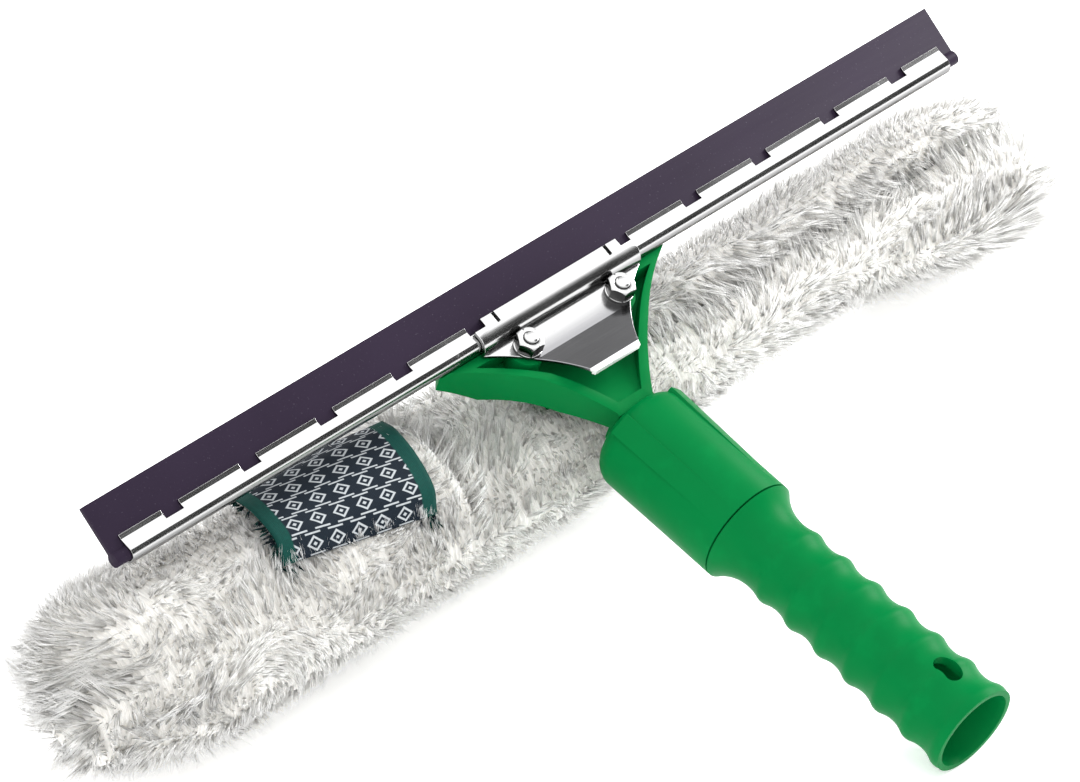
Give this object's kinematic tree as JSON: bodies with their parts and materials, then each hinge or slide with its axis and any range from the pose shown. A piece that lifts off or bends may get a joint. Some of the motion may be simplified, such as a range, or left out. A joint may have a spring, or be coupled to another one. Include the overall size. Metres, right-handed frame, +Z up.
{
  "type": "window scrubber",
  "caption": "Two-in-one window tool: a squeegee blade clamped in a yoke above, a plush washer sleeve on a T-bar below, and one ribbed hollow handle that takes a pole.",
  "frame": {"origin": "centre of the bounding box's base, on the surface that the sleeve and the handle's end lie on", "axes": "+X along the blade to the user's right, +Y from the handle towards the blade, +Z up"},
  "size_m": [0.396, 0.2121, 0.0951],
  "materials": {
    "green_plastic": "smooth moulded green plastic with a soft gloss",
    "bar_plastic": "plain moulded green plastic, hidden in the sleeve",
    "steel": "bright rolled stainless steel",
    "blade_rubber": "smooth black wiping rubber",
    "plush": "long white plush pile in locks",
    "tape": "white woven hem and fastening tape",
    "woven_label": "woven label in dark green and navy with a plain white pattern"
  },
  "bodies": {
    "tool": {"grip": "green_plastic", "socket": "green_plastic", "socket_screw": "steel", "yoke": "green_plastic", "clamp_bolt_left": "steel", "clamp_bolt_right": "steel", "t_bar": "bar_plastic", "bar_cap_left": "bar_plastic", "bar_cap_right": "bar_plastic"},
    "clamp": {"clamp_plate": "steel", "washer_left": "steel", "washer_right": "steel"},
    "left_nut": {"nut_left": "steel"},
    "right_nut": {"nut_right": "steel"},
    "channel": {"blade_channel": "steel"},
    "blade": {"rubber_blade": "blade_rubber"},
    "sleeve": {"washer_sleeve": "plush", "sleeve_binding": "tape", "hook_strip": "tape", "loop_strip": "tape", "sleeve_label": "woven_label"}
  },
  "joints": [
    {"name": "left_nut_turn", "type": "hinge", "parent": "clamp", "child": "left_nut", "pos_m": [-0.0196, 0.06328, 0.07976], "axis": [0, -0.332, 0.9433], "range_deg": [0, 720]},
    {"name": "right_nut_turn", "type": "hinge", "parent": "clamp", "child": "right_nut", "pos_m": [0.0196, 0.06328, 0.07976], "axis": [0, -0.332, 0.9433], "range_deg": [0, 720]},
    {"name": "clamp_lift", "type": "slide", "parent": "tool", "child": "clamp", "axis": [0, -0.332, 0.9433], "range_m": [0, 0.0016]},
    {"name": "channel_slide", "type": "slide", "parent": "tool", "child": "channel", "axis": [1, 0, 0], "range_m": [-0.14, 0.14]},
    {"name": "blade_pull", "type": "slide", "parent": "channel", "child": "blade", "axis": [1, 0, 0], "range_m": [0, 0.37]},
    {"name": "sleeve_pull", "type": "slide", "parent": "tool", "child": "sleeve", "axis": [-1, 0, 0], "range_m": [0, 0.4]}
  ],
  "couplings": [
    {"joint": "left_nut_turn", "follows": "clamp_lift", "rad_per_m": 7853.9},
    {"joint": "right_nut_turn", "follows": "clamp_lift", "rad_per_m": 7853.9}
  ]
}
